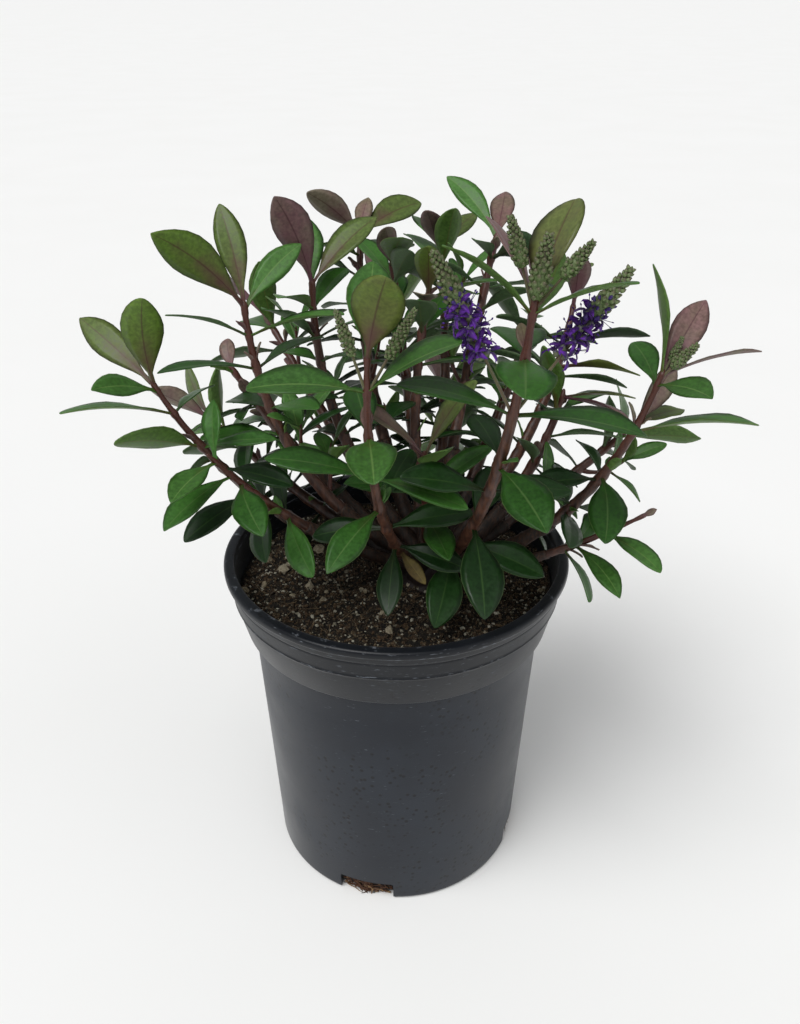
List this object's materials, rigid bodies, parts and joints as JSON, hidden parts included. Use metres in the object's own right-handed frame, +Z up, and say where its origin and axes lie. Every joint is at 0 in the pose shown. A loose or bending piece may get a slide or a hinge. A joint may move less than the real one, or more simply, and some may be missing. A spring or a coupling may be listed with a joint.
{
  "type": "potted hebe shrub",
  "caption": "Young hebe shrub with paired oval leaves and violet flower spikes, growing on several stems from one short trunk in a round tapered nursery pot.",
  "frame": {"origin": "centre of the pot's flat underside", "axes": "+Z up, +X to the right and -Y to the front of the pictured view"},
  "size_m": [0.2736, 0.2664, 0.3456],
  "materials": {
    "pot": "moulded charcoal plastic with a slight sheen",
    "soil": "dark potting mix with pale grains",
    "bark": "smooth reddish-brown young bark",
    "foliage": "leathery green leaves, purple when young"
  },
  "bodies": {
    "root": {"pot": "pot", "soil": "soil", "trunk": "bark", "bough_front_centre": "bark", "bough_front_right": "bark", "bough_right": "bark", "bough_low_right": "bark", "bough_left_tall": "bark", "bough_left": "bark", "bough_left_low": "bark", "bough_back_left": "bark", "bough_back_mid_left": "bark", "bough_back_middle": "bark", "bough_middle": "bark", "bough_back_far": "bark", "bough_back_right": "bark", "bough_right_back": "bark", "bough_right_inner": "bark", "bough_left_inner": "bark", "bough_far_left_back": "bark", "bough_far_back": "bark", "bough_far_right_back": "bark", "bough_low_right_back": "bark", "bough_low_left_back": "bark", "bough_low_back": "bark", "bough_centre_low": "bark", "foliage_front_centre": "foliage", "foliage_front_right": "foliage", "foliage_right": "foliage", "foliage_low_right": "foliage", "foliage_left_tall": "foliage", "foliage_left": "foliage", "foliage_left_low": "foliage", "foliage_back_left": "foliage", "foliage_back_mid_left": "foliage", "foliage_back_middle": "foliage", "foliage_middle": "foliage", "foliage_back_far": "foliage", "foliage_back_right": "foliage", "foliage_right_back": "foliage", "foliage_right_inner": "foliage", "foliage_left_inner": "foliage", "foliage_far_left_back": "foliage", "foliage_far_back": "foliage", "foliage_far_right_back": "foliage", "foliage_low_right_back": "foliage", "foliage_low_left_back": "foliage", "foliage_low_back": "foliage", "foliage_centre_low": "foliage"}
  },
  "joints": []
}
